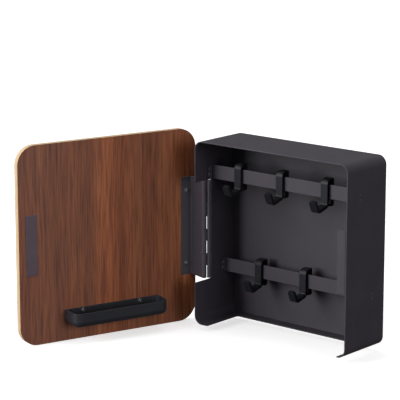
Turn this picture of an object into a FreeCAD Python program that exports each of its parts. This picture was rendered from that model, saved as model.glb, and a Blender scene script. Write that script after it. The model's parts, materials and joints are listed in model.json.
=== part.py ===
import FreeCAD, Part

import math
import os
import re

import Sketcher

# Key organiser: a shallow wall cabinet of bent steel sheet with a veneered plywood door.
# +X is to the right, +Y is to the wall and +Z is up, in millimetres. The origin is the centre
# of the magnet sheet's wall face. The door is drawn shut, about its hinge axis, and its
# Placement then swings it open. Each hook is drawn about the middle of its rail's front face.

SIZES = {
    # cabinet
    "case_width": 188.0,
    "case_height": 188.0,
    "case_depth": 62.0,
    "case_corner": 9.0,
    "sheet_gauge": 1.0,
    "notch_depth": 24.5,
    "notch_height": 103.0,
    "cut_left": 77.5,
    "cut_right": 84.0,
    "rear_strip": 14.0,
    "cut_corner": 3.0,
    "magnet_side": 150.0,
    "magnet_thick": 1.0,
    "magnet_corner": 6.0,
    # rails
    "rail_height": 14.0,
    "rail_gauge": 1.2,
    "rail_tab": 4.6,
    "rail_bend": 1.6,
    "upper_rail_level": 59.7,
    "lower_rail_level": -40.4,
    "upper_rail_setback": 23.2,
    "lower_rail_setback": 44.7,
    # catch plate behind the free edge of the door
    "catch_width": 10.5,
    "catch_height": 62.0,
    "catch_depth": 9.0,
    "catch_setback": 0.8,
    "catch_bend": 1.2,
    # rivets
    "rivet_radius": 0.9,
    "rivet_head_radius": 1.4,
    "rivet_head_rise": 0.6,
    "rail_rivet_pitch": 5.0,
    "rail_rivet_reach": 2.7,
    "catch_rivet_pitch": 40.0,
    "catch_rivet_reach": 5.4,
    "hinge_rivet_pitch": 38.0,
    "hinge_rivet_setback": 13.0,
    # hinge
    "hinge_side": -99.4,
    "hinge_depth": -42.0,
    "open_angle": 108.0,
    "hinge_length": 101.8,
    "hinge_drop": 0.3,
    "knuckle_radius": 2.6,
    "knuckle_bore": 1.45,
    "knuckle_gap": 0.45,
    "knuckle_clearance": 0.15,
    "knuckle_pairs": 4.0,
    "pin_radius": 1.4,
    "pin_overhang": 0.6,
    "leaf_gauge": 1.0,
    "leaf_slit": 2.6,
    "body_leaf_length": 22.0,
    "door_leaf_inset": 5.3,
    "door_leaf_flange": 12.5,
    "door_leaf_jog": 9.0,
    "leaf_bend": 1.5,
    "crank_bend": 0.8,
    # door
    "door_side": 200.0,
    "door_corner": 19.0,
    "core_thick": 5.5,
    "veneer_thick": 0.5,
    "axis_inset": 3.0,
    "axis_standoff": 21.5,
    "strip_width": 12.0,
    "strip_height": 60.5,
    "strip_rise": 1.2,
    "strip_thick": 0.9,
    "strip_inset": 7.5,
    # screws
    "screw_radius": 1.25,
    "screw_length": 6.0,
    "screw_head_radius": 2.6,
    "screw_head_rise": 1.4,
    "screw_slot": 0.8,
    "screw_point_radius": 0.2,
    "pilot_clearance": 0.05,
    "hinge_screw_pitch": 75.4,
    "hinge_screw_drop": 1.4,
    "hinge_screw_inset": 11.3,
    # tray
    "tray_start": 45.6,
    "tray_length": 105.9,
    "tray_reach": 24.5,
    "tray_height": 14.6,
    "tray_base": -82.8,
    "tray_corner": 8.0,
    "tray_edge": 6.0,
    "tray_wall": 1.2,
    "tray_screw_pitch": 65.3,
    "tray_screw_drop": 3.2,
    # hooks
    "hook_width": 8.0,
    "hook_thick": 2.8,
    "hook_leg_thick": 1.8,
    "hook_gap": 0.3,
    "hook_body_depth": 7.4,
    "hook_head_rise": 2.4,
    "hook_plate_drop": 13.9,
    "hook_foot_drop": 13.8,
    "hook_foot_reach": 4.6,
    "hook_low_reach": 16.0,
    "hook_low_drop": 17.9,
    "hook_tip_reach": 20.8,
    "hook_tip_drop": 6.5,
    "hook_head_bend": 4.0,
    "hook_leg_bend": 1.2,
    "hook_arm_bend": 3.0,
    "hook_tip_round": 2.4,
    "hook_upper_left": -55.4,
    "hook_upper_middle": -3.1,
    "hook_upper_right": 51.6,
    "hook_lower_left": -45.9,
    "hook_lower_right": 10.5,
}

# Formulas that several pieces share.
ZERO = "(0 * sheet_gauge)"
FRONT = "(0 - magnet_thick - case_depth)"
INNER_HALF = "(case_width / 2 - sheet_gauge)"
KNUCKLE_PITCH = "(hinge_length / (2 * knuckle_pairs))"
# From the hinge's middle.
HINGE_RIVET_LEVELS = ("0 - hinge_rivet_pitch", ZERO, "hinge_rivet_pitch")
HINGE_SCREW_LEVELS = ("hinge_screw_pitch / 2 - hinge_screw_drop",
                      "0 - hinge_screw_pitch / 2 - hinge_screw_drop")

doc = FreeCAD.newDocument("key_organiser")
PIECES = []


def bound(formula):
    """Give each alias in a formula the name of the sheet that holds it."""
    return re.sub(r"[a-z]+_[a-z_]+", lambda alias: "dims." + alias.group(0), formula)


def number(formula):
    """The value of a formula of sheet aliases."""
    return float(doc.dims.evalExpression(bound(formula)))


def make_sheet():
    """The driving dimensions, one per row."""
    sheet = doc.addObject("Spreadsheet::Sheet", "dims")
    for row, (alias, size) in enumerate(SIZES.items(), start=1):
        sheet.set("A%d" % row, alias)
        sheet.set("B%d" % row, str(size))
        sheet.setAlias("B%d" % row, alias)
    doc.recompute()


# ---------------------------------------------------------------- building blocks


def new_body(label):
    body = doc.addObject("PartDesign::Body", label)
    body.Label = label
    PIECES.append(body)
    return body


def new_sketch(body, role, offset=ZERO):
    """A sketch on one of the body's own origin planes, moved along the plane's normal."""
    sketch = body.newObject("Sketcher::SketchObject", body.Label + "_sketch")
    plane = [item for item in body.Origin.OriginFeatures if item.Role == role][0]
    sketch.AttachmentSupport = [(plane, "")]
    sketch.MapMode = "FlatFace"
    sketch.setExpression("AttachmentOffset.Base.z", bound(offset))
    return sketch


def pin_point(sketch, geometry, vertex, axis, formula):
    """Hold one point at a signed distance from the sketch's origin along one axis."""
    size = number(formula)
    kind = "DistanceX" if axis == 0 else "DistanceY"
    if size < 0:
        ends = (geometry, vertex, -1, 1)
        formula = "0 - (%s)" % formula
    else:
        ends = (-1, 1, geometry, vertex)
    index = sketch.addConstraint(Sketcher.Constraint(kind, *ends, abs(size)))
    sketch.setExpression("Constraints[%d]" % index, bound(formula))


def add_rectangle(sketch, left, bottom, width, height):
    """A rectangle whose lower left corner and sides are all bound."""
    x_low = number(left)
    y_low = number(bottom)
    x_high = x_low + number(width)
    y_high = y_low + number(height)
    corners = [(x_low, y_low), (x_high, y_low), (x_high, y_high), (x_low, y_high)]
    first = sketch.GeometryCount
    for index in range(4):
        start = FreeCAD.Vector(*corners[index], 0)
        end = FreeCAD.Vector(*corners[(index + 1) % 4], 0)
        sketch.addGeometry(Part.LineSegment(start, end), False)
    for index in range(4):
        after = first + (index + 1) % 4
        sketch.addConstraint(Sketcher.Constraint("Coincident", first + index, 2, after, 1))
        level = "Horizontal" if index % 2 == 0 else "Vertical"
        sketch.addConstraint(Sketcher.Constraint(level, first + index))
    pin_point(sketch, first, 1, 0, left)
    pin_point(sketch, first, 1, 1, bottom)
    for kind, side, size in (("DistanceX", first, width), ("DistanceY", first + 1, height)):
        index = sketch.addConstraint(Sketcher.Constraint(kind, side, 1, side, 2, number(size)))
        sketch.setExpression("Constraints[%d]" % index, bound(size))


def add_rounded_rectangle(sketch, left, bottom, width, height, radius):
    """A rectangle with four equal rounded corners, all of its sizes bound."""
    x_low, y_low, bend = number(left), number(bottom), number(radius)
    x_high = x_low + number(width)
    y_high = y_low + number(height)
    # Each side is a line followed by the quarter circle at its far end.
    centres = [
        (x_high - bend, y_low + bend, 270),
        (x_high - bend, y_high - bend, 0),
        (x_low + bend, y_high - bend, 90),
        (x_low + bend, y_low + bend, 180),
    ]
    upright = FreeCAD.Vector(0, 0, 1)
    arcs = []
    for x_mid, y_mid, turn in centres:
        circle = Part.Circle(FreeCAD.Vector(x_mid, y_mid, 0), upright, bend)
        arcs.append(Part.ArcOfCircle(circle, math.radians(turn), math.radians(turn + 90)))
    first = sketch.GeometryCount
    for index in range(4):
        sketch.addGeometry(Part.LineSegment(arcs[index - 1].EndPoint, arcs[index].StartPoint), False)
        sketch.addGeometry(arcs[index], False)
    for index in range(4):
        line = first + 2 * index
        arc = line + 1
        after = first + (2 * index + 2) % 8
        sketch.addConstraint(Sketcher.Constraint("Tangent", line, 2, arc, 1))
        sketch.addConstraint(Sketcher.Constraint("Tangent", arc, 2, after, 1))
        level = "Horizontal" if index % 2 == 0 else "Vertical"
        sketch.addConstraint(Sketcher.Constraint(level, line))
        if index:
            sketch.addConstraint(Sketcher.Constraint("Equal", first + 1, arc))
    index = sketch.addConstraint(Sketcher.Constraint("Radius", first + 1, bend))
    sketch.setExpression("Constraints[%d]" % index, bound(radius))
    pin_point(sketch, first + 6, 1, 0, left)
    pin_point(sketch, first, 1, 1, bottom)
    spans = (
        ("DistanceX", first + 6, 1, first + 2, 1, width),
        ("DistanceY", first, 1, first + 4, 1, height),
    )
    for kind, side, end, other, other_end, size in spans:
        span = Sketcher.Constraint(kind, side, end, other, other_end, number(size))
        index = sketch.addConstraint(span)
        sketch.setExpression("Constraints[%d]" % index, bound(size))


def add_circle(sketch, x_mid, y_mid, radius):
    centre = FreeCAD.Vector(number(x_mid), number(y_mid), 0)
    circle = Part.Circle(centre, FreeCAD.Vector(0, 0, 1), number(radius))
    geometry = sketch.addGeometry(circle, False)
    pin_point(sketch, geometry, 3, 0, x_mid)
    pin_point(sketch, geometry, 3, 1, y_mid)
    index = sketch.addConstraint(Sketcher.Constraint("Radius", geometry, number(radius)))
    sketch.setExpression("Constraints[%d]" % index, bound(radius))


def add_bent_strip(sketch, path, bends, gauge):
    """The closed section of a strip of one gauge, bent to a radius at each inner path point."""
    half = number(gauge) / 2
    points = [FreeCAD.Vector(number(x), number(y), 0) for x, y in path]
    runs = []
    start = points[0]
    for index in range(1, len(points) - 1):
        before = (points[index] - points[index - 1]).normalize()
        after = (points[index + 1] - points[index]).normalize()
        turn = before.getAngle(after)
        side = 1 if before.cross(after).z > 0 else -1
        bend = number(bends[index - 1])
        leg = bend * math.tan(turn / 2)
        entry = points[index] - before * leg
        leave = points[index] + after * leg
        centre = entry + FreeCAD.Vector(-before.y, before.x, 0) * (side * bend)
        middle = (points[index] - centre).normalize()
        runs.append(("line", start, entry, before))
        runs.append(("arc", entry, leave, before, after, centre, middle, side * bend))
        start = leave
    last = (points[-1] - points[-2]).normalize()
    runs.append(("line", start, points[-1], last))

    def left_of(direction):
        return FreeCAD.Vector(-direction.y, direction.x, 0)

    edges = []
    ends = []
    for hand in (half, -half):
        for run in runs:
            if run[0] == "line":
                near = run[1] + left_of(run[3]) * hand
                far = run[2] + left_of(run[3]) * hand
                edges.append(Part.LineSegment(near, far))
                ends.append((near, far))
            else:
                near = run[1] + left_of(run[3]) * hand
                far = run[2] + left_of(run[4]) * hand
                radius = abs(run[7]) - hand if run[7] > 0 else abs(run[7]) + hand
                edges.append(Part.Arc(near, run[5] + run[6] * radius, far))
                ends.append((near, far))
    half_count = len(runs)
    edges.append(Part.LineSegment(ends[0][0], ends[half_count][0]))
    edges.append(Part.LineSegment(ends[half_count - 1][1], ends[-1][1]))
    first = sketch.GeometryCount
    sketch.addGeometry(edges, False)
    for index in range(len(edges)):
        sketch.addConstraint(Sketcher.Constraint("Block", first + index))


def pad(body, sketch, length, symmetric=False, reverse=False):
    feature = body.newObject("PartDesign::Pad", body.Label + "_pad")
    feature.Profile = sketch
    feature.setExpression("Length", bound(length))
    feature.Midplane = symmetric
    feature.Reversed = reverse
    body.Tip = feature
    doc.recompute()
    return feature


def pocket(body, sketch, depth=None, symmetric=False, reverse=False):
    """Cut a sketch out of the body, right through it unless a depth is given."""
    before = body.Shape.Volume
    feature = body.newObject("PartDesign::Pocket", body.Label + "_pocket")
    feature.Profile = sketch
    if depth is None:
        feature.Type = "ThroughAll"
    else:
        feature.setExpression("Length", bound(depth))
    feature.Midplane = symmetric
    feature.Reversed = reverse
    body.Tip = feature
    doc.recompute()
    if body.Shape.Volume > before - 1e-6:
        raise RuntimeError("%s cut nothing from %s" % (feature.Label, body.Label))
    return feature


def fillet(body, radius, wanted):
    """Round the edges of the body's last feature that the test accepts."""
    base = body.Tip
    names = []
    for index, edge in enumerate(base.Shape.Edges, start=1):
        if wanted(edge):
            names.append("Edge%d" % index)
    feature = body.newObject("PartDesign::Fillet", body.Label + "_fillet")
    feature.Base = (base, names)
    feature.setExpression("Radius", bound(radius))
    body.Tip = feature
    doc.recompute()
    return feature


def repeat_along_z(body, features, count, step):
    """Repeat features upward, so that the body ends in the whole row."""
    pattern = body.newObject("PartDesign::LinearPattern", body.Label + "_row")
    pattern.Originals = features
    axis = [item for item in body.Origin.OriginFeatures if item.Role == "Z_Axis"][0]
    pattern.Direction = (axis, [""])
    pattern.Occurrences = int(number(count))
    pattern.setExpression("Length", bound("(%s - 1) * %s" % (count, step)))
    body.Tip = pattern
    doc.recompute()
    return pattern


def place(piece, x=ZERO, y=ZERO, z=ZERO):
    piece.setExpression("Placement.Base.x", bound(x))
    piece.setExpression("Placement.Base.y", bound(y))
    piece.setExpression("Placement.Base.z", bound(z))


def hang_on_door(piece, z=ZERO):
    """Swing a piece that is drawn about the hinge axis, with the door shut, to the open door."""
    place(piece, "hinge_side", "hinge_depth", z)
    piece.setExpression("Placement.Rotation.Axis.x", "0")
    piece.setExpression("Placement.Rotation.Axis.y", "0")
    piece.setExpression("Placement.Rotation.Axis.z", "1")
    piece.setExpression("Placement.Rotation.Angle", bound("0 - open_angle"))


# ---------------------------------------------------------------- cabinet


def make_cabinet_shell():
    """The band of sheet that makes all four walls, with the hinge notch and the open bottom."""
    body = new_body("cabinet_shell")
    band = new_sketch(body, "XZ_Plane", "magnet_thick")
    add_rounded_rectangle(band, "0 - case_width / 2", "0 - case_height / 2",
                          "case_width", "case_height", "case_corner")
    pad(body, band, "case_depth")
    hollow = new_sketch(body, "XZ_Plane", "magnet_thick + case_depth")
    add_rounded_rectangle(hollow, "sheet_gauge - case_width / 2", "sheet_gauge - case_height / 2",
                          "case_width - 2 * sheet_gauge", "case_height - 2 * sheet_gauge",
                          "case_corner - sheet_gauge")
    pocket(body, hollow)
    notch = new_sketch(body, "YZ_Plane")
    add_rectangle(notch, FRONT + " - sheet_gauge", "0 - notch_height / 2",
                  "notch_depth + sheet_gauge", "notch_height")
    pocket(body, notch)
    opening = new_sketch(body, "XY_Plane")
    add_rounded_rectangle(opening, "0 - cut_left", FRONT + " - 2 * case_corner", "cut_left + cut_right",
                          "case_depth - rear_strip + 2 * case_corner", "cut_corner")
    pocket(body, opening)
    rail_holes = new_sketch(body, "YZ_Plane")
    for level, setback in (("upper_rail_level", "upper_rail_setback"),
                           ("lower_rail_level", "lower_rail_setback")):
        for side in ("+", "-"):
            add_circle(rail_holes, FRONT + " + %s - rail_rivet_reach" % setback,
                       "%s %s rail_rivet_pitch / 2" % (level, side), "rivet_radius")
    pocket(body, rail_holes, symmetric=True)
    catch_holes = new_sketch(body, "YZ_Plane")
    for side in ("0 +", "0 -"):
        add_circle(catch_holes, FRONT + " + catch_setback + catch_rivet_reach",
                   side + " catch_rivet_pitch / 2", "rivet_radius")
    pocket(body, catch_holes, reverse=True)
    hinge_holes = new_sketch(body, "YZ_Plane")
    for level in HINGE_RIVET_LEVELS:
        add_circle(hinge_holes, "hinge_depth + hinge_rivet_setback", level + " - hinge_drop",
                   "rivet_radius")
    pocket(body, hinge_holes)


def make_back_panel():
    body = new_body("back_panel")
    sheet = new_sketch(body, "XZ_Plane", "magnet_thick")
    add_rounded_rectangle(sheet, "sheet_gauge - case_width / 2", "sheet_gauge - case_height / 2",
                          "case_width - 2 * sheet_gauge", "case_height - 2 * sheet_gauge",
                          "case_corner - sheet_gauge")
    pad(body, sheet, "sheet_gauge")


def make_magnet_sheet():
    """The rubber magnet sheet that holds the cabinet to a steel wall or door."""
    body = new_body("magnet_sheet")
    sheet = new_sketch(body, "XZ_Plane")
    add_rounded_rectangle(sheet, "0 - magnet_side / 2", "0 - magnet_side / 2",
                          "magnet_side", "magnet_side", "magnet_corner")
    pad(body, sheet, "magnet_thick")


def make_rail(label, level, setback):
    """A flat bar across the cabinet, with both ends bent forward into tabs on the side walls."""
    body = new_body(label)
    section = new_sketch(body, "XY_Plane")
    tab_side = INNER_HALF + " - rail_gauge / 2"
    path = [
        ("0 - (%s)" % tab_side, "0 - rail_tab"),
        ("0 - (%s)" % tab_side, "rail_gauge / 2"),
        (tab_side, "rail_gauge / 2"),
        (tab_side, "0 - rail_tab"),
    ]
    add_bent_strip(section, path, ["rail_bend", "rail_bend"], "rail_gauge")
    pad(body, section, "rail_height", symmetric=True)
    holes = new_sketch(body, "YZ_Plane")
    for side in ("0 +", "0 -"):
        add_circle(holes, "0 - rail_rivet_reach", side + " rail_rivet_pitch / 2", "rivet_radius")
    pocket(body, holes, symmetric=True)
    place(body, y=FRONT + " + " + setback, z=level)


def make_catch_plate():
    """The steel angle that the door's magnet strip pulls against."""
    body = new_body("catch_plate")
    section = new_sketch(body, "XY_Plane")
    front_line = FRONT + " + catch_setback + sheet_gauge / 2"
    wall_line = INNER_HALF + " - sheet_gauge / 2"
    path = [
        (INNER_HALF + " - catch_width", front_line),
        (wall_line, front_line),
        (wall_line, FRONT + " + catch_setback + catch_depth"),
    ]
    add_bent_strip(section, path, ["catch_bend"], "sheet_gauge")
    pad(body, section, "catch_height", symmetric=True)
    holes = new_sketch(body, "YZ_Plane")
    for side in ("0 +", "0 -"):
        add_circle(holes, FRONT + " + catch_setback + catch_rivet_reach",
                   side + " catch_rivet_pitch / 2", "rivet_radius")
    pocket(body, holes, reverse=True)


# ---------------------------------------------------------------- hinge


def add_knuckles(body, first_gap):
    """Roll the leaf's edge round the pin, then clear the other leaf's knuckles out of it.

    The first gap is measured from the hinge's lower end, and the leaf is centred on z = 0.
    """
    barrel = new_sketch(body, "XY_Plane")
    add_circle(barrel, ZERO, ZERO, "knuckle_radius")
    pad(body, barrel, "hinge_length", symmetric=True)
    bore = new_sketch(body, "XY_Plane")
    add_circle(bore, ZERO, ZERO, "knuckle_bore")
    pocket(body, bore, symmetric=True)
    gap = new_sketch(body, "XY_Plane", first_gap + " - hinge_length / 2 - knuckle_gap / 2")
    add_circle(gap, ZERO, ZERO, "knuckle_radius + knuckle_clearance")
    cut = pocket(body, gap, KNUCKLE_PITCH + " + knuckle_gap", reverse=True)
    repeat_along_z(body, [cut], "knuckle_pairs", "2 * " + KNUCKLE_PITCH)


def make_hinge_body_leaf():
    """The cabinet's leaf, flat on the outside of the left wall and cranked out behind the pin."""
    body = new_body("hinge_body_leaf")
    section = new_sketch(body, "XY_Plane")
    flat = "0 - case_width / 2 - leaf_gauge / 2 - hinge_side"
    # The rolled edge meets the back of the barrel on a tangent.
    touch = "knuckle_radius - leaf_gauge / 2"
    path = [
        (flat, "body_leaf_length + 4 * leaf_gauge"),
        (flat, touch),
        (ZERO, touch),
    ]
    add_bent_strip(section, path, ["crank_bend"], "leaf_gauge")
    pad(body, section, "hinge_length", symmetric=True)
    add_knuckles(body, ZERO)
    # All but the top door knuckle have a wider slit beside them, which the eye sees through.
    slit = new_sketch(body, "YZ_Plane", "leaf_slit")
    add_rectangle(slit, ZERO, "0 - hinge_length / 2 - knuckle_gap / 2",
                  "2 * knuckle_radius", KNUCKLE_PITCH + " + knuckle_gap")
    repeat_along_z(body, [pocket(body, slit)], "knuckle_pairs - 1", "2 * " + KNUCKLE_PITCH)
    holes = new_sketch(body, "YZ_Plane")
    for level in HINGE_RIVET_LEVELS:
        add_circle(holes, "hinge_rivet_setback", level, "rivet_radius")
    pocket(body, holes, symmetric=True)
    place(body, "hinge_side", "hinge_depth", "0 - hinge_drop")


def make_hinge_door_leaf():
    """The door's leaf, an angle with one flange screwed to the door's inner face."""
    body = new_body("hinge_door_leaf")
    section = new_sketch(body, "XY_Plane")
    flange = "leaf_gauge / 2 - axis_standoff"
    web = "door_leaf_inset - axis_inset"
    path = [
        (web + " + door_leaf_flange - leaf_gauge / 2", flange),
        (web, flange),
        (web, "door_leaf_jog - axis_standoff"),
        ("knuckle_radius - leaf_gauge / 2", ZERO),
    ]
    add_bent_strip(section, path, ["leaf_bend", "2 * leaf_bend"], "leaf_gauge")
    pad(body, section, "hinge_length", symmetric=True)
    add_knuckles(body, KNUCKLE_PITCH)
    holes = new_sketch(body, "XZ_Plane")
    for level in HINGE_SCREW_LEVELS:
        add_circle(holes, "hinge_screw_inset - axis_inset", level, "screw_radius + 3 * pilot_clearance")
    pocket(body, holes, reverse=True, symmetric=True)
    hang_on_door(body, "0 - hinge_drop")


def make_hinge_pin():
    pin = doc.addObject("Part::Cylinder", "hinge_pin")
    pin.Label = "hinge_pin"
    pin.setExpression("Radius", bound("pin_radius"))
    pin.setExpression("Height", bound("hinge_length + 2 * pin_overhang"))
    place(pin, "hinge_side", "hinge_depth", "0 - hinge_drop - hinge_length / 2 - pin_overhang")
    PIECES.append(pin)


# ---------------------------------------------------------------- door


def add_pilot_holes(body, standoff):
    """Blind holes for the hinge's and the tray's screws, from the door's inner face."""
    holes = new_sketch(body, "XZ_Plane", standoff)
    for level in HINGE_SCREW_LEVELS:
        add_circle(holes, "hinge_screw_inset - axis_inset", level + " - hinge_drop",
                   "screw_radius + pilot_clearance")
    for side in ("+", "-"):
        add_circle(holes, "tray_start + tray_length / 2 - axis_inset %s tray_screw_pitch / 2" % side,
                   "tray_base + tray_height - tray_screw_drop", "screw_radius + pilot_clearance")
    return holes


def make_door_layer(label, standoff, thickness, pilot_depth):
    """One layer of the door: a square sheet with rounded corners at its own depth."""
    body = new_body(label)
    sheet = new_sketch(body, "XZ_Plane", standoff)
    add_rounded_rectangle(sheet, "0 - axis_inset", "0 - door_side / 2",
                          "door_side", "door_side", "door_corner")
    pad(body, sheet, thickness)
    if pilot_depth:
        pocket(body, add_pilot_holes(body, standoff), pilot_depth, reverse=True)
    hang_on_door(body)


def make_door_magnet_strip():
    body = new_body("door_magnet_strip")
    strip = new_sketch(body, "XZ_Plane", "axis_standoff")
    add_rounded_rectangle(strip, "door_side - axis_inset - strip_inset - strip_width",
                          "strip_rise - strip_height / 2", "strip_width", "strip_height",
                          "sheet_gauge / 2")
    pad(body, strip, "strip_thick", reverse=True)
    hang_on_door(body)


def make_tray():
    """The shallow tray on the door, pressed with rounded corners and open at the top."""
    body = new_body("tray")
    block = new_sketch(body, "XY_Plane", "tray_base")
    add_rectangle(block, "tray_start - axis_inset", "0 - axis_standoff", "tray_length", "tray_reach")
    pad(body, block, "tray_height")
    front = number("tray_reach - axis_standoff")
    back = number("0 - axis_standoff")
    base = number("tray_base")
    inner_base = number("tray_base + tray_wall")

    def upright_front(edge):
        box = edge.BoundBox
        return box.ZLength > 1 and box.YMin > front - 0.01

    def inner_bottom(edge):
        box = edge.BoundBox
        return abs(box.ZMin - inner_base) < 0.01 and box.ZLength < 0.01

    def outer_bottom(edge):
        box = edge.BoundBox
        return box.ZMax < base + 0.01 and box.YMax > back + 0.01

    fillet(body, "tray_corner", upright_front)
    hollow = new_sketch(body, "XY_Plane", "tray_base + tray_height")
    add_rounded_rectangle(hollow, "tray_start - axis_inset + tray_wall", "tray_wall - axis_standoff",
                          "tray_length - 2 * tray_wall", "tray_reach - 2 * tray_wall",
                          "tray_corner - tray_wall")
    pocket(body, hollow, "tray_height - tray_wall")
    fillet(body, "tray_edge - tray_wall", inner_bottom)
    fillet(body, "tray_edge", outer_bottom)
    holes = new_sketch(body, "XZ_Plane")
    for side in ("+", "-"):
        add_circle(holes, "tray_start + tray_length / 2 - axis_inset %s tray_screw_pitch / 2" % side,
                   "tray_base + tray_height - tray_screw_drop", "screw_radius + 3 * pilot_clearance")
    pocket(body, holes, reverse=True)
    hang_on_door(body)


# ---------------------------------------------------------------- fasteners


def dome(radius, rise):
    """The solid cap of a sphere, standing on the XY plane."""
    ball = (radius ** 2 + rise ** 2) / (2 * rise)
    sphere = Part.makeSphere(ball, FreeCAD.Vector(0, 0, rise - ball))
    room = Part.makeBox(4 * radius, 4 * radius, 2 * rise, FreeCAD.Vector(-2 * radius, -2 * radius, 0))
    return sphere.common(room)


def rivet(grip):
    """A rivet along +Z: its shank ends flush at -grip and its domed head stands on z = 0."""
    shank = Part.makeCylinder(number("rivet_radius"), grip, FreeCAD.Vector(0, 0, -grip))
    return shank.fuse(dome(number("rivet_head_radius"), number("rivet_head_rise"))).removeSplitter()


def screw():
    """A cross-head wood screw along +Z, with the underside of its head on z = 0."""
    length = number("screw_length")
    shank_radius = number("screw_radius")
    tip = length / 3
    shank = Part.makeCylinder(shank_radius, length - tip, FreeCAD.Vector(0, 0, tip - length))
    point_radius = number("screw_point_radius")
    point = Part.makeCone(point_radius, shank_radius, tip, FreeCAD.Vector(0, 0, -length))
    head_radius = number("screw_head_radius")
    rise = number("screw_head_rise")
    slot = number("screw_slot")
    solid = shank.fuse(point).fuse(dome(head_radius, rise))
    slot_length = 1.5 * slot + head_radius / 2
    for length_x, length_y in ((slot_length, slot), (slot, slot_length)):
        corner = FreeCAD.Vector(-length_x / 2, -length_y / 2, rise / 2)
        solid = solid.cut(Part.makeBox(length_x, length_y, rise, corner))
    return solid.removeSplitter()


def make_fastener_group(label, seats, master):
    """One node that holds a group of like fasteners, each set at a point along a direction."""
    solids = []
    for point, direction in seats:
        copy = master.copy()
        turn = FreeCAD.Rotation(FreeCAD.Vector(0, 0, 1), FreeCAD.Vector(*direction))
        copy.Placement = FreeCAD.Placement(FreeCAD.Vector(*point), turn)
        solids.append(copy)
    group = doc.addObject("Part::Feature", label)
    group.Label = label
    group.Shape = Part.makeCompound(solids)
    PIECES.append(group)
    return group


def make_rail_rivets(label, level, setback):
    depth = number("%s + %s - rail_rivet_reach" % (FRONT, setback))
    inner_face = number(INNER_HALF + " - rail_gauge")
    seats = []
    for side in (-1, 1):
        for offset in (-0.5, 0.5):
            height = number(level) + offset * number("rail_rivet_pitch")
            seats.append(((side * inner_face, depth, height), (-side, 0, 0)))
    make_fastener_group(label, seats, rivet(number("rail_gauge + sheet_gauge")))


def make_catch_rivets():
    depth = number(FRONT + " + catch_setback + catch_rivet_reach")
    inner_face = number(INNER_HALF + " - sheet_gauge")
    seats = []
    for offset in (-0.5, 0.5):
        seats.append(((inner_face, depth, offset * number("catch_rivet_pitch")), (-1, 0, 0)))
    make_fastener_group("catch_rivets", seats, rivet(number("2 * sheet_gauge")))


def make_hinge_rivets():
    """Three rivets with their heads inside the cabinet, flush in the leaf outside."""
    depth = number("hinge_depth + hinge_rivet_setback")
    inner_face = number("0 - " + INNER_HALF)
    seats = []
    for level in HINGE_RIVET_LEVELS:
        seats.append(((inner_face, depth, number(level + " - hinge_drop")), (1, 0, 0)))
    make_fastener_group("hinge_body_rivets", seats, rivet(number("leaf_gauge + sheet_gauge")))


def make_door_screws():
    """The screws of the hinge leaf and of the tray, driven into the door's inner face."""
    inset = number("hinge_screw_inset - axis_inset")
    face = number("leaf_gauge - axis_standoff")
    seats = []
    for level in HINGE_SCREW_LEVELS:
        seats.append(((inset, face, number(level + " - hinge_drop")), (0, 1, 0)))
    hang_on_door(make_fastener_group("hinge_door_screws", seats, screw()))
    middle = number("tray_start + tray_length / 2 - axis_inset")
    height = number("tray_base + tray_height - tray_screw_drop")
    face = number("tray_wall - axis_standoff")
    seats = []
    for offset in (-0.5, 0.5):
        seats.append(((middle + offset * number("tray_screw_pitch"), face, height), (0, 1, 0)))
    hang_on_door(make_fastener_group("tray_screws", seats, screw()))


# ---------------------------------------------------------------- hooks


def make_hook(label, rail_setback, rail_level):
    """A sprung plastic clip over the rail that ends in a J hook at the front."""
    body = new_body(label)
    section = new_sketch(body, "YZ_Plane")
    plate = "0 - hook_gap - hook_thick / 2"
    leg = "hook_body_depth - hook_leg_thick / 2"
    top = "rail_height / 2 + hook_head_rise + hook_thick / 2"
    arm = [
        ("hook_body_depth", top),
        (plate, top),
        (plate, "0 - hook_plate_drop"),
        ("0 - hook_low_reach", "0 - hook_low_drop"),
        ("0 - hook_tip_reach", "0 - hook_tip_drop"),
    ]
    add_bent_strip(section, arm, ["hook_head_bend", "hook_arm_bend", "hook_arm_bend"], "hook_thick")
    pad(body, section, "hook_width", symmetric=True)
    tip_line = number("0 - hook_low_reach")
    thick = number("hook_thick")

    def tip_corner(edge):
        return edge.BoundBox.YMax < tip_line and abs(edge.Length - thick) < 0.01

    fillet(body, "hook_tip_round", tip_corner)
    back = new_sketch(body, "YZ_Plane")
    add_bent_strip(back, [
        (leg, top),
        (leg, "0 - hook_foot_drop"),
        (leg + " - hook_foot_reach", "0 - hook_foot_drop"),
    ], ["hook_leg_bend"], "hook_leg_thick")
    pad(body, back, "hook_width", symmetric=True)
    # Narrow ribs seat the clip on the rail's top edge and press on its back.
    for left, bottom, width in (
            (plate, "rail_height / 2 + hook_gap", "%s - (%s)" % (leg, plate)),
            ("rail_gauge + hook_gap", "rail_height / 6", leg + " - rail_gauge - hook_gap")):
        rib = new_sketch(body, "YZ_Plane")
        add_rectangle(rib, left, bottom, width, "%s - (%s)" % (top, bottom))
        pad(body, rib, "hook_width / 2", symmetric=True)
    place(body, label, FRONT + " + " + rail_setback, rail_level)


# ---------------------------------------------------------------- assembly


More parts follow.
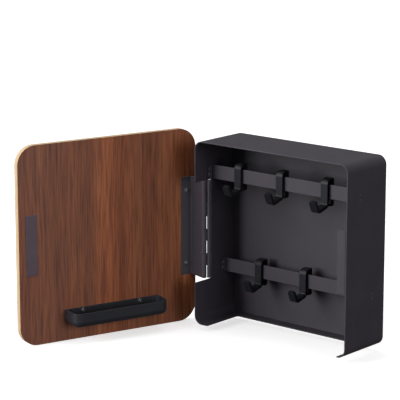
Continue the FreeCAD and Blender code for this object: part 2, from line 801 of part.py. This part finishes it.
def make_everything():
    make_sheet()
    make_cabinet_shell()
    make_back_panel()
    make_magnet_sheet()
    for side in ("upper", "lower"):
        level = side + "_rail_level"
        setback = side + "_rail_setback"
        make_rail(side + "_rail", level, setback)
        make_rail_rivets(side + "_rail_rivets", level, setback)
    make_catch_plate()
    make_catch_rivets()
    make_hinge_body_leaf()
    make_hinge_rivets()
    make_hinge_door_leaf()
    make_hinge_pin()
    make_door_layer("door_inner_veneer", "axis_standoff", "veneer_thick", "veneer_thick")
    make_door_layer("door_core", "axis_standoff + veneer_thick", "core_thick",
                    "screw_length - leaf_gauge - veneer_thick + 2 * pilot_clearance")
    make_door_layer("door_outer_veneer", "axis_standoff + veneer_thick + core_thick", "veneer_thick", None)
    make_door_magnet_strip()
    make_tray()
    make_door_screws()
    for label in ("hook_upper_left", "hook_upper_middle", "hook_upper_right"):
        make_hook(label, "upper_rail_setback", "upper_rail_level")
    for label in ("hook_lower_left", "hook_lower_right"):
        make_hook(label, "lower_rail_setback", "lower_rail_level")


def check_and_export():
    """Stop on any failed object, then write one STEP file for each piece."""
    doc.recompute()
    for item in doc.Objects:
        for fault in ("Invalid", "Error"):
            if fault in item.State:
                raise RuntimeError("%s is in state %s" % (item.Label, item.State))
    os.makedirs("parts", exist_ok=True)
    for piece in PIECES:
        shape = piece.Shape
        if shape.isNull() or not shape.isValid() or not shape.Solids:
            raise RuntimeError("%s has no valid solid" % piece.Label)
        shape.exportStep("parts/%s.step" % piece.Label)
        print("%-20s %2d solid(s) %10.1f mm3" % (piece.Label, len(shape.Solids), shape.Volume))


make_everything()
check_and_export()
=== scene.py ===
"""Looks for the key organiser: a black sheet-steel key cabinet with a walnut-veneered door.

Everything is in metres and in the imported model's frame: +X right, +Y into the wall, +Z up.
"""

import json
import math

import bmesh
import bpy
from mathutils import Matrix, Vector

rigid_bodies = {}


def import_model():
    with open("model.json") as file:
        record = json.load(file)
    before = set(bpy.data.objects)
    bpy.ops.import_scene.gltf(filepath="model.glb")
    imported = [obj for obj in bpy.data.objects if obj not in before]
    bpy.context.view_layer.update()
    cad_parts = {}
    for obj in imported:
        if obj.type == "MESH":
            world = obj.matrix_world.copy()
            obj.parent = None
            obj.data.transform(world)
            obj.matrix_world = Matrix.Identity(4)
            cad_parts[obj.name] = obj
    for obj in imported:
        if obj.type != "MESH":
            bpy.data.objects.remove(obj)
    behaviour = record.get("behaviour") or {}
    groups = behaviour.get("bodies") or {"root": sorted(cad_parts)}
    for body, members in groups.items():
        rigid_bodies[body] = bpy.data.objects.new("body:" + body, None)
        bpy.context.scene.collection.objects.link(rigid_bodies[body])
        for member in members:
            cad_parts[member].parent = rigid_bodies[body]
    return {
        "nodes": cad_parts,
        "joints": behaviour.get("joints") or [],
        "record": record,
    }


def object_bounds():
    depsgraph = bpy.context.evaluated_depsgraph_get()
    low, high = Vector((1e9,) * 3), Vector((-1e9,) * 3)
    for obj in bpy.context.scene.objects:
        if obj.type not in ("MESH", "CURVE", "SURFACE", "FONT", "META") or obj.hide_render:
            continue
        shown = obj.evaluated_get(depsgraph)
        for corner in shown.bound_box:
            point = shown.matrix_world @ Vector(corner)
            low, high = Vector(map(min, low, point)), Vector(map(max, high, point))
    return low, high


for leftover in list(bpy.data.objects):
    bpy.data.objects.remove(leftover)
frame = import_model()
bpy.context.view_layer.update()
CAD_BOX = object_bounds()
NODES = frame["nodes"]
MM = 0.001

# The hinge axis, and how far the door stands open at rest.
SWING = [joint for joint in frame["joints"] if joint["name"] == "door_swing"][0]
HINGE = Vector(SWING["pos_m"])
OPEN = math.radians(SWING["range_deg"][1])


# ---------------------------------------------------------------- camera

CAMERA_AZIMUTH = math.radians(40.5)
CAMERA_ELEVATION = math.radians(12.7)
CAMERA_DISTANCE = 1.9953
CAMERA_TARGET = Vector((-0.115, -0.030, 0.025))
CAMERA_LENS = 176.7
CAMERA_SENSOR = 36.0
CAMERA_NEAR = 0.1
CAMERA_FAR = 20.0


def make_camera():
    data = bpy.data.cameras.new("camera")
    data.lens = CAMERA_LENS
    data.sensor_width = CAMERA_SENSOR
    data.clip_start = CAMERA_NEAR
    data.clip_end = CAMERA_FAR
    camera = bpy.data.objects.new("camera", data)
    bpy.context.scene.collection.objects.link(camera)
    back = Vector((
        math.sin(CAMERA_AZIMUTH) * math.cos(CAMERA_ELEVATION),
        -math.cos(CAMERA_AZIMUTH) * math.cos(CAMERA_ELEVATION),
        math.sin(CAMERA_ELEVATION),
    ))
    camera.location = CAMERA_TARGET + back * CAMERA_DISTANCE
    camera.rotation_mode = "QUATERNION"
    camera.rotation_quaternion = (-back).to_track_quat("-Z", "Y")
    bpy.context.scene.camera = camera


# ---------------------------------------------------------------- shader nodes


class Shader:
    """A new material with a Principled shader, and short ways to add and join nodes."""

    def __init__(self, name, roughness, metallic=0.0):
        self.material = bpy.data.materials.new(name)
        self.material.use_nodes = True
        self.tree = self.material.node_tree
        self.principled = self.tree.nodes["Principled BSDF"]
        self.principled.inputs["Roughness"].default_value = roughness
        self.principled.inputs["Metallic"].default_value = metallic
        self.place = self.node("ShaderNodeTexCoord").outputs["Object"]

    def node(self, kind, **settings):
        made = self.tree.nodes.new(kind)
        for name, value in settings.items():
            setattr(made, name, value)
        return made

    def join(self, output, target):
        self.tree.links.new(output, target)

    def into(self, output, name):
        """Join an output to one of the Principled shader's inputs."""
        self.join(output, self.principled.inputs[name])

    def door_place(self):
        """The object's coordinates, turned back to where the door is when it is shut."""
        turned = self.node("ShaderNodeVectorRotate", rotation_type="Z_AXIS")
        turned.inputs["Center"].default_value = HINGE
        turned.inputs["Angle"].default_value = OPEN
        self.join(self.place, turned.inputs["Vector"])
        return turned.outputs["Vector"]

    def separate(self, vector):
        made = self.node("ShaderNodeSeparateXYZ")
        self.join(vector, made.inputs["Vector"])
        return made.outputs

    def noise(self, place, scale, detail, rough):
        made = self.node("ShaderNodeTexNoise")
        made.inputs["Scale"].default_value = scale
        made.inputs["Detail"].default_value = detail
        made.inputs["Roughness"].default_value = rough
        self.join(place, made.inputs["Vector"])
        return made.outputs["Fac"]

    def ramp(self, factor, stops):
        made = self.node("ShaderNodeValToRGB")
        elements = made.color_ramp.elements
        while len(elements) < len(stops):
            elements.new(0.5)
        for element, (position, colour) in zip(elements, stops):
            element.position = position
            element.color = (*colour, 1.0)
        self.join(factor, made.inputs["Fac"])
        return made.outputs["Color"]

    def span(self, factor, low, high, out_low, out_high):
        """A factor's range low to high, as the range out_low to out_high."""
        made = self.node("ShaderNodeMapRange")
        made.inputs["From Min"].default_value = low
        made.inputs["From Max"].default_value = high
        made.inputs["To Min"].default_value = out_low
        made.inputs["To Max"].default_value = out_high
        self.join(factor, made.inputs["Value"])
        return made.outputs["Result"]

    def mix(self, kind, factor, first, second):
        made = self.node("ShaderNodeMix", data_type="RGBA", blend_type=kind)
        for name, value in (("Factor", factor), ("A", first), ("B", second)):
            socket = [item for item in made.inputs if item.name == name and item.enabled][0]
            if isinstance(value, bpy.types.NodeSocket):
                self.join(value, socket)
            elif isinstance(value, tuple):
                socket.default_value = (*value, 1.0)
            else:
                socket.default_value = value
        return [item for item in made.outputs if item.enabled][0]

    def calculate(self, operation, first, second=0.0):
        made = self.node("ShaderNodeMath", operation=operation)
        for socket, value in zip(made.inputs, (first, second)):
            if isinstance(value, bpy.types.NodeSocket):
                self.join(value, socket)
            else:
                socket.default_value = value
        return made.outputs["Value"]

    def bump(self, height, distance, strength, below=None):
        made = self.node("ShaderNodeBump")
        made.inputs["Strength"].default_value = strength
        made.inputs["Distance"].default_value = distance
        self.join(height, made.inputs["Height"])
        if below is not None:
            self.join(below, made.inputs["Normal"])
        return made.outputs["Normal"]

    def rounded(self, radius):
        """The surface's normal as if every sharp edge were rounded to a small radius."""
        made = self.node("ShaderNodeBevel", samples=6)
        made.inputs["Radius"].default_value = radius
        return made.outputs["Normal"]

    def edges(self, rounded, low, high):
        """1 on the edges that the rounded normal turns away from, 0 on the flats."""
        flat = self.node("ShaderNodeNewGeometry").outputs["Normal"]
        facing = self.node("ShaderNodeVectorMath", operation="DOT_PRODUCT")
        self.join(flat, facing.inputs[0])
        self.join(rounded, facing.inputs[1])
        return self.span(facing.outputs["Value"], low, high, 0.0, 1.0)


# ---------------------------------------------------------------- black coats and steel

# How much paler a coat is along its edges, a painted highlight, and how far its patches differ
# from the rest.
COAT_EDGE_HIGHLIGHT = 1.6
COAT_TINT = 0.12
COAT_ROUND = 0.45 * MM
COAT_SWELL = 700.0
COAT_PATCHES = 22.0


def coat(name, dark, pale, roughness, grain=2600.0, depth=0.03 * MM, specular=0.42):
    """A fine-textured black coat: powder coat, moulded plastic or magnetic rubber."""
    shader = Shader(name, roughness)
    fine = shader.noise(shader.place, grain, 4.0, 0.55)
    broad = shader.noise(shader.place, COAT_PATCHES, 3.0, 0.6)
    swell = shader.noise(shader.place, COAT_SWELL, 2.0, 0.5)
    base = shader.ramp(fine, [(0.3, dark), (0.72, pale)])
    patches = shader.ramp(broad, [
        (0.3, (1.0 - COAT_TINT,) * 3),
        (0.7, (1.0 + COAT_TINT,) * 3),
    ])
    colour = shader.mix("MULTIPLY", 1.0, base, patches)
    rounded = shader.rounded(COAT_ROUND)
    edges = shader.edges(rounded, 0.99, 0.80)
    # The coat's edges are made paler in colour here: a painted highlight.
    colour = shader.mix("MULTIPLY", edges, colour, (COAT_EDGE_HIGHLIGHT,) * 3)
    shader.into(colour, "Base Color")
    shader.into(shader.span(fine, 0.3, 0.7, roughness - 0.05, roughness + 0.07), "Roughness")
    shader.principled.inputs["Specular IOR Level"].default_value = specular
    normal = shader.bump(swell, 1.4 * depth, 0.5, rounded)
    shader.into(shader.bump(fine, depth, 0.7, normal), "Normal")
    return shader.material


STEEL_ROUND = 0.3 * MM
STEEL_GRAIN = 1800.0
STEEL_GRAIN_DEPTH = 0.012 * MM
# The rolling marks are much longer than wide, and run along Z.
MARKS = 900.0
MARKS_STRETCH = (1.0, 1.0, 0.06)


def steel(name, colour, roughness, edge_wear_and_highlight, metallic, specular):
    """Black-plated steel with faint rolling marks and paler edges, partly wear and partly a
    painted highlight.
    """
    shader = Shader(name, roughness, metallic)
    shader.principled.inputs["Specular IOR Level"].default_value = specular
    mapping = shader.node("ShaderNodeMapping", vector_type="TEXTURE")
    mapping.inputs["Scale"].default_value = MARKS_STRETCH
    shader.join(shader.place, mapping.inputs["Vector"])
    marks = shader.noise(mapping.outputs["Vector"], MARKS, 3.0, 0.6)
    fine = shader.noise(shader.place, STEEL_GRAIN, 3.0, 0.55)
    base = shader.ramp(marks, [
        (0.3, tuple(0.82 * part for part in colour)),
        (0.7, tuple(1.2 * part for part in colour)),
    ])
    rounded = shader.rounded(STEEL_ROUND)
    edges = shader.edges(rounded, 0.98, 0.75)
    # The paler edge colour is partly wear and partly a painted highlight.
    shader.into(shader.mix("MIX", edges, base, edge_wear_and_highlight), "Base Color")
    shader.into(shader.span(fine, 0.3, 0.7, roughness - 0.06, roughness + 0.1), "Roughness")
    shader.into(shader.bump(fine, STEEL_GRAIN_DEPTH, 0.6, rounded), "Normal")
    return shader.material


# ---------------------------------------------------------------- wood

# How much longer than wide the veneer's marks are, kind by kind.
DRIFT_STRETCH = 2.0
LINE_STRETCH = 28.0
PORE_STRETCH = 30.0
# How many marks there are to a metre across the grain, kind by kind.
DRIFT_SCALE = 9.0
BAND_SCALE = 34.0
LINE_SCALE = 250.0
HAIR_SCALE = 800.0
PORE_SCALE = 1500.0
# The grain wanders sideways by up to this much, and the stripe's borders by a little more.
LINE_DRIFT = 0.004
STRIPE_DRIFT = 0.006
# The pale stripe: its middle, from the hinge axis, and where its border starts and ends.
STRIPE_MIDDLE = 0.092
STRIPE_FULL = 0.009
STRIPE_END = 0.025
STRIPE_GAIN = (1.62, 1.52, 1.30)
# A painted sheen, a painted reflection of the pale studio on the free side: where it starts and
# is full, from the hinge axis.
PAINTED_SHEEN_START = 0.06
PAINTED_SHEEN_FULL = 0.17
PAINTED_SHEEN = (0.020, 0.022, 0.026)
# Painted light that brightens the wood beside the hinge, against the cabinet's shade, reaches
# out to here.
PAINTED_LIGHT_END = 0.055
PAINTED_LIGHT_GAIN = (1.18, 1.14, 1.0)
LINE_DEPTH = 0.03 * MM
PORE_DEPTH = 0.025 * MM


def walnut(name):
    """Straight-grained walnut veneer: brown bands, dark streaks, fine pores and a satin coat."""
    shader = Shader(name, 0.42)
    flat = shader.door_place()

    def along_grain(stretch, seed=0.0):
        mapping = shader.node("ShaderNodeMapping")
        mapping.inputs["Location"].default_value = (seed, seed * 0.37, seed * 0.61)
        mapping.inputs["Scale"].default_value = (1.0, 1.0, 1.0 / stretch)
        shader.join(flat, mapping.inputs["Vector"])
        return mapping.outputs["Vector"]

    # A slow sideways drift of the grain, so that no line runs dead straight.
    drift = shader.noise(along_grain(DRIFT_STRETCH, 3.1), DRIFT_SCALE, 2.0, 0.5)
    shift = shader.node("ShaderNodeCombineXYZ")
    shader.join(shader.span(drift, 0.0, 1.0, -LINE_DRIFT, LINE_DRIFT), shift.inputs["X"])
    bent = shader.node("ShaderNodeVectorMath", operation="ADD")
    shader.join(along_grain(LINE_STRETCH), bent.inputs[0])
    shader.join(shift.outputs["Vector"], bent.inputs[1])
    line_place = bent.outputs["Vector"]

    bands = shader.noise(line_place, BAND_SCALE, 2.0, 0.5)
    lines = shader.noise(line_place, LINE_SCALE, 4.0, 0.6)
    hairs = shader.noise(line_place, HAIR_SCALE, 2.0, 0.6)
    base = shader.ramp(bands, [
        (0.28, (0.190, 0.056, 0.023)),
        (0.43, (0.280, 0.086, 0.036)),
        (0.57, (0.325, 0.103, 0.043)),
        (0.72, (0.400, 0.134, 0.057)),
    ])
    streaks = shader.ramp(lines, [
        (0.34, (0.66, 0.60, 0.58)),
        (0.46, (0.96, 0.95, 0.94)),
        (0.64, (1.18, 1.20, 1.20)),
    ])
    colour = shader.mix("MULTIPLY", 0.9, base, streaks)
    fine = shader.ramp(hairs, [
        (0.36, (0.62, 0.57, 0.54)),
        (0.50, (1.00, 1.00, 1.00)),
        (0.68, (1.25, 1.27, 1.27)),
    ])
    colour = shader.mix("MULTIPLY", 0.85, colour, fine)

    # One pale stripe runs near the middle, with a painted sheen on the free side and painted
    # light by the hinge.
    from_hinge = shader.calculate("SUBTRACT", shader.separate(flat)["X"], HINGE.x)
    wander = shader.span(drift, 0.0, 1.0, -STRIPE_DRIFT, STRIPE_DRIFT)
    wave = shader.calculate("ADD", from_hinge, wander)
    offset = shader.calculate("ABSOLUTE", shader.calculate("SUBTRACT", wave, STRIPE_MIDDLE))
    stripe = shader.span(offset, STRIPE_FULL, STRIPE_END, 1.0, 0.0)
    colour = shader.mix("MULTIPLY", stripe, colour, STRIPE_GAIN)
    # Painted sheen: a pale painted reflection is added towards the free edge.
    painted_sheen = shader.span(wave, PAINTED_SHEEN_START, PAINTED_SHEEN_FULL, 0.0, 1.0)
    colour = shader.mix("ADD", painted_sheen, colour, PAINTED_SHEEN)
    # Painted light: the wood by the hinge is brightened to make up for the cabinet's shade.
    hinge_painted_light = shader.span(wave, 0.0, PAINTED_LIGHT_END, 1.0, 0.0)
    shader.into(shader.mix("MULTIPLY", hinge_painted_light, colour, PAINTED_LIGHT_GAIN), "Base Color")

    pores = shader.noise(along_grain(PORE_STRETCH, 1.7), PORE_SCALE, 2.0, 0.5)
    open_pores = shader.span(pores, 0.30, 0.44, 0.0, 1.0)
    shader.into(shader.span(lines, 0.3, 0.7, 0.50, 0.36), "Roughness")
    normal = shader.bump(lines, LINE_DEPTH, 0.5)
    shader.into(shader.bump(open_pores, PORE_DEPTH, 0.6, normal), "Normal")
    shader.principled.inputs["Coat Weight"].default_value = 0.12
    shader.principled.inputs["Coat Roughness"].default_value = 0.32
    return shader.material


PLY = 2.2 * MM
FIBRE_DEPTH = 0.02 * MM


def plywood(name):
    """The pale cut edge of the door: plies that follow the door's thickness."""
    shader = Shader(name, 0.5)
    depth = shader.calculate("MULTIPLY", shader.separate(shader.door_place())["Y"], 1.0 / PLY)
    ply = shader.calculate("PINGPONG", depth, 1.0)
    fibres = shader.noise(shader.place, 900.0, 4.0, 0.6)
    broad = shader.noise(shader.place, 90.0, 3.0, 0.6)
    base = shader.ramp(ply, [
        (0.38, (0.72, 0.52, 0.31)),
        (0.50, (0.45, 0.28, 0.14)),
        (0.62, (0.84, 0.66, 0.44)),
    ])
    grain = shader.ramp(fibres, [
        (0.3, (0.80, 0.78, 0.74)),
        (0.7, (1.08, 1.07, 1.05)),
    ])
    colour = shader.mix("MULTIPLY", 0.8, base, grain)
    patches = shader.ramp(broad, [
        (0.35, (0.92, 0.90, 0.86)),
        (0.70, (1.05, 1.05, 1.05)),
    ])
    shader.into(shader.mix("MULTIPLY", 0.7, colour, patches), "Base Color")
    shader.into(shader.span(fibres, 0.3, 0.7, 0.44, 0.58), "Roughness")
    shader.into(shader.bump(fibres, FIBRE_DEPTH, 0.6), "Normal")
    return shader.material


# ---------------------------------------------------------------- CAD nodes

MATERIALS = {
    "black_powder_coat": coat(
        "black_powder_coat",
        dark=(0.036, 0.0315, 0.041),
        pale=(0.062, 0.0545, 0.069),
        roughness=0.52,
    ),
    "tray_coat": coat(
        "tray_coat",
        dark=(0.020, 0.021, 0.027),
        pale=(0.037, 0.038, 0.048),
        roughness=0.48,
    ),
    "hook_plastic": coat(
        "hook_plastic",
        dark=(0.008, 0.009, 0.0115),
        pale=(0.015, 0.016, 0.020),
        roughness=0.45,
        grain=1900.0,
        depth=0.02 * MM,
        specular=0.22,
    ),
    "magnet_strip": coat(
        "magnet_strip",
        dark=(0.140, 0.098, 0.123),
        pale=(0.195, 0.142, 0.177),
        roughness=0.62,
        grain=2200.0,
        specular=0.35,
    ),
    "magnet_rubber": coat(
        "magnet_rubber",
        dark=(0.035, 0.034, 0.036),
        pale=(0.055, 0.053, 0.056),
        roughness=0.66,
        grain=1800.0,
        depth=0.04 * MM,
        specular=0.3,
    ),
    "walnut_veneer": walnut("walnut_veneer"),
    "plywood_core": plywood("plywood_core"),
    "black_hinge_steel": steel(
        "black_hinge_steel",
        colour=(0.105, 0.095, 0.113),
        roughness=0.42,
        edge_wear_and_highlight=(0.30, 0.28, 0.31),
        metallic=0.3,
        specular=0.4,
    ),
    # On the screws the pale edge colour is a painted glint.
    "black_screw": steel(
        "black_screw",
        colour=(0.170, 0.170, 0.180),
        roughness=0.26,
        edge_wear_and_highlight=(0.62, 0.62, 0.63),
        metallic=0.7,
        specular=0.5,
    ),
}


def dress_nodes():
    slots = {part["node"]: part["material_slot"] for part in frame["record"]["subparts"]}
    for name, piece in NODES.items():
        piece.data.materials.clear()
        piece.data.materials.append(MATERIALS[slots[name]])


# ---------------------------------------------------------------- stage

WHITE = (1.0, 1.0, 1.0, 1.0)

FLOOR_GAP = 0.0004
FLOOR_NEAR = -4.0
FLOOR_FAR = 3.0
FLOOR_HALF_WIDTH = 6.0
BACKDROP_BEND = 1.2
BACKDROP_TOP = 5.0
BACKDROP_STEPS = 12
# The floor glows a little, and more so away from the object, from one distance to the other.
GLOW_NEAR = 0.1
GLOW_FAR = 1.6
GLOW_LOW = 0.62
GLOW_HIGH = 0.84


def make_floor():
    """A broad pale floor that runs up into a backdrop, just under the object's lowest point."""
    low = CAD_BOX[0].z - FLOOR_GAP
    profile = [(FLOOR_NEAR, 0.0), (FLOOR_FAR, 0.0)]
    for step in range(1, BACKDROP_STEPS + 1):
        turn = math.radians(90 * step / BACKDROP_STEPS)
        y = FLOOR_FAR + BACKDROP_BEND * math.sin(turn)
        profile.append((y, BACKDROP_BEND * (1 - math.cos(turn))))
    profile.append((FLOOR_FAR + BACKDROP_BEND, BACKDROP_TOP))
    mesh = bpy.data.meshes.new("floor")
    form = bmesh.new()
    rows = []
    for y, z in profile:
        ends = (-FLOOR_HALF_WIDTH, FLOOR_HALF_WIDTH)
        rows.append([form.verts.new((x, y, low + z)) for x in ends])
    for near, far in zip(rows, rows[1:]):
        form.faces.new((near[0], near[1], far[1], far[0]))
    form.to_mesh(mesh)
    form.free()
    for polygon in mesh.polygons:
        polygon.use_smooth = True
    floor = bpy.data.objects.new("floor", mesh)
    bpy.context.scene.collection.objects.link(floor)
    floor.rotation_euler.z = CAMERA_AZIMUTH
    mesh.materials.append(studio_white())
    # The floor shows its own contact shadows, but throws no light back up at the object.
    floor.visible_diffuse = False
    floor.visible_glossy = False


def studio_white():
    shader = Shader("studio_white", 0.7)
    mottle = shader.noise(shader.place, 3.0, 2.0, 0.5)
    base = shader.ramp(mottle, [(0.3, (0.80,) * 3), (0.7, (0.83,) * 3)])
    shader.into(base, "Base Color")
    shader.principled.inputs["Emission Color"].default_value = WHITE
    away = shader.separate(shader.place)["Y"]
    shader.into(shader.span(away, GLOW_NEAR, GLOW_FAR, GLOW_LOW, GLOW_HIGH), "Emission Strength")
    return shader.material


# The strength of the studio's own light, below the horizon and overhead.
WORLD_LOW = 0.07
WORLD_HIGH = 0.36
WORLD_RISE_START = -0.25
WORLD_RISE_END = 0.9


def make_world():
    """A dim studio that is brighter above, and plain white where the camera sees it."""
    world = bpy.data.worlds.new("studio")
    world.use_nodes = True
    nodes, links = world.node_tree.nodes, world.node_tree.links
    glow = nodes["Background"]
    glow.inputs["Color"].default_value = WHITE
    place = nodes.new("ShaderNodeTexCoord")
    parts = nodes.new("ShaderNodeSeparateXYZ")
    links.new(place.outputs["Generated"], parts.inputs["Vector"])
    rise = nodes.new("ShaderNodeMapRange")
    rise.inputs["From Min"].default_value = WORLD_RISE_START
    rise.inputs["From Max"].default_value = WORLD_RISE_END
    rise.inputs["To Min"].default_value = WORLD_LOW
    rise.inputs["To Max"].default_value = WORLD_HIGH
    links.new(parts.outputs["Z"], rise.inputs["Value"])
    links.new(rise.outputs["Result"], glow.inputs["Strength"])
    white = nodes.new("ShaderNodeBackground")
    white.inputs["Color"].default_value = WHITE
    white.inputs["Strength"].default_value = 1.0
    seen = nodes.new("ShaderNodeLightPath")
    choice = nodes.new("ShaderNodeMixShader")
    links.new(seen.outputs["Is Camera Ray"], choice.inputs["Fac"])
    links.new(glow.outputs["Background"], choice.inputs[1])
    links.new(white.outputs["Background"], choice.inputs[2])
    links.new(choice.outputs["Shader"], nodes["World Output"].inputs["Surface"])
    bpy.context.scene.world = world


# Each soft box: its name, place, width, height and power in watts.
LIGHT_AIM = Vector((-0.04, -0.05, 0.0))
LIGHTS = [
    ("top_box", (-0.1, 0.35, 2.0), 1.4, 1.4, 11.0),
    ("front_box", (-1.1, -1.9, 0.7), 1.5, 1.5, 53.0),
    ("side_box", (2.35, -0.55, 0.55), 0.9, 1.1, 14.5),
]


def make_lights():
    bpy.context.scene.view_settings.view_transform = "Standard"
    for name, place, width, height, power in LIGHTS:
        data = bpy.data.lights.new(name, "AREA")
        data.shape = "RECTANGLE"
        data.size = width
        data.size_y = height
        data.energy = power
        light = bpy.data.objects.new(name, data)
        bpy.context.scene.collection.objects.link(light)
        light.location = place
        light.rotation_mode = "QUATERNION"
        light.rotation_quaternion = (LIGHT_AIM - Vector(place)).to_track_quat("-Z", "Y")


make_camera()
dress_nodes()
make_floor()
make_world()
make_lights()

bpy.context.view_layer.update()
